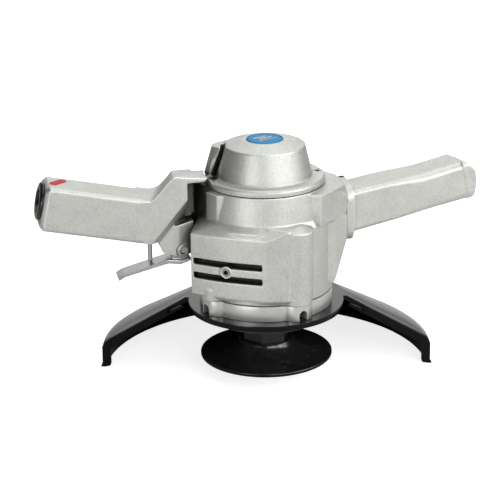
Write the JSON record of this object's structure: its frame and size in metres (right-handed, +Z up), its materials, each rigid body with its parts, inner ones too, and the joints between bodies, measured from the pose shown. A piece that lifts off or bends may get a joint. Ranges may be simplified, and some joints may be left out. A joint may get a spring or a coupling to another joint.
{
  "type": "air vertical grinder",
  "caption": "Heavy air-driven vertical grinder with two raised cast handles, a throttle lever and a half-round wheel guard.",
  "frame": {"origin": "spindle axis at the backing flange's wheel face", "axes": "+Z up the spindle towards the cap, +X along the support handle, -X along the throttle handle, -Y towards the operator's open side of the guard"},
  "size_m": [0.3435, 0.1936, 0.1895],
  "materials": {
    "cast_aluminium": "sand-cast, matt, light warm grey",
    "machined_aluminium": "fine satin",
    "black_guard_paint": "gloss black",
    "black_flange": "satin black",
    "black_oxide": "black oxide",
    "bright_steel": "plated",
    "ground_steel": "ground",
    "spring_steel": "plain",
    "iron": "machined",
    "brass": "machined",
    "gasket_paper": "matt",
    "felt": "felt",
    "vane_resin": "fabric-filled resin",
    "black_bush": "semi gloss black",
    "badge_blue": "gloss blue",
    "marker_red": "gloss red"
  },
  "bodies": {
    "housing": {"motor_housing": "cast_aluminium", "housing_gasket": "gasket_paper", "bearing_housing": "machined_aluminium", "bearing_housing_screws": "black_oxide", "cap": "cast_aluminium", "cap_gasket": "gasket_paper", "cap_screws": "bright_steel", "cap_badge": "badge_blue", "exhaust_silencer": "black_oxide", "exhaust_screw": "bright_steel", "throttle_handle": "cast_aluminium", "handle_gasket": "gasket_paper", "throttle_handle_screws": "black_oxide", "inlet_bush": "black_bush", "inlet_strainer": "bright_steel", "inlet_marker": "marker_red", "valve_bush": "brass", "valve_spring": "spring_steel", "lever_pin": "bright_steel", "support_handle": "cast_aluminium", "support_handle_bolt": "bright_steel", "handle_set_screw": "black_oxide", "guard_clamp_ring": "black_oxide", "guard_clamp_screws": "black_oxide", "spindle_seal": "felt", "lower_bearing": "ground_steel", "lower_end_plate": "iron", "cylinder_liner": "iron", "motor_dowels": "bright_steel", "upper_end_plate": "iron", "upper_bearing": "ground_steel"},
    "guard": {"wheel_guard": "black_guard_paint"},
    "spindle_body": {"spindle": "black_oxide", "spindle_nut": "bright_steel", "rotor": "ground_steel", "rotor_key": "bright_steel", "vanes": "vane_resin", "governor_hub": "brass", "governor_weights": "ground_steel", "governor_spring": "spring_steel", "backing_flange": "black_flange"},
    "lever": {"throttle_lever": "bright_steel"},
    "plunger": {"throttle_plunger": "bright_steel", "throttle_valve": "brass"}
  },
  "joints": [
    {"name": "spindle_spin", "type": "hinge", "parent": "housing", "child": "spindle_body", "pos_m": [0, 0, 0], "axis": [0, 0, 1], "continuous": true},
    {"name": "guard_turn", "type": "hinge", "parent": "housing", "child": "guard", "pos_m": [0, 0, 0.043], "axis": [0, 0, 1], "range_deg": [-90, 90]},
    {"name": "lever_squeeze", "type": "hinge", "parent": "housing", "child": "lever", "pos_m": [-0.066, 0, 0.0935], "axis": [0, 1, 0], "range_deg": [0, 16], "stiffness_Nm_per_rad": 0.5, "springref_deg": -11.46},
    {"name": "plunger_slide", "type": "slide", "parent": "housing", "child": "plunger", "axis": [0, 0, 1], "range_m": [0, 0.0074], "deforming": ["valve_spring"]}
  ],
  "couplings": [
    {"joint": "plunger_slide", "follows": "lever_squeeze", "m_per_rad": 0.026}
  ]
}
